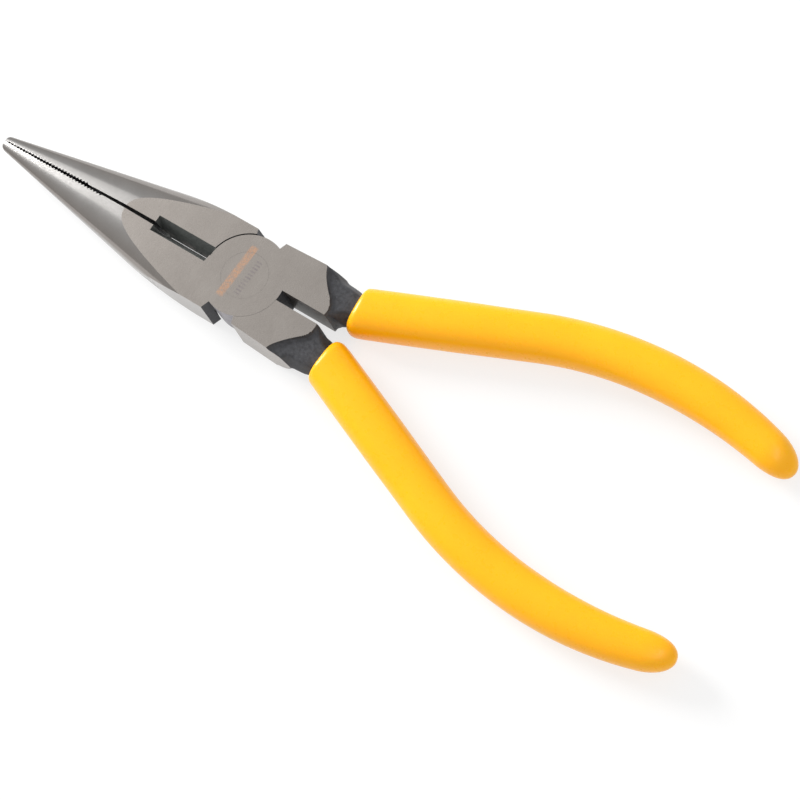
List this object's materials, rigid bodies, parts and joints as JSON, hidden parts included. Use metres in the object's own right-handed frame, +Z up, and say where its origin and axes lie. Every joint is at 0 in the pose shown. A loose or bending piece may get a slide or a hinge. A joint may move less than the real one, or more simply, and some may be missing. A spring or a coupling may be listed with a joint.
{
  "type": "needle nose pliers",
  "caption": "Long tapered serrated jaws with a side cutter window, turning on a lap joint with a flush rivet; steel handles in bowed dipped vinyl grips.",
  "frame": {"origin": "on the pivot axis, at the lower ground face of the head, which lies on the bench", "axes": "+X from the pivot to the jaw tips, +Y towards the upper half's jaw, +Z up along the pivot through the head"},
  "size_m": [0.2036, 0.066, 0.0106],
  "materials": {
    "ground_steel": "fine ground, satin, with black oxide on the forged necks, walls and cutters",
    "rivet_steel": "ground flush with the head",
    "yellow_vinyl": "glossy dipped vinyl"
  },
  "bodies": {
    "upper": {"upper_half": "ground_steel", "pivot_rivet": "rivet_steel", "upper_half_grip": "yellow_vinyl"},
    "lower": {"lower_half": "ground_steel", "lower_half_grip": "yellow_vinyl"}
  },
  "joints": [
    {"name": "jaw_pivot", "type": "hinge", "parent": "upper", "child": "lower", "pos_m": [0, 0, 0.0053], "axis": [0, 0, -1], "range_deg": [0, 38]}
  ]
}
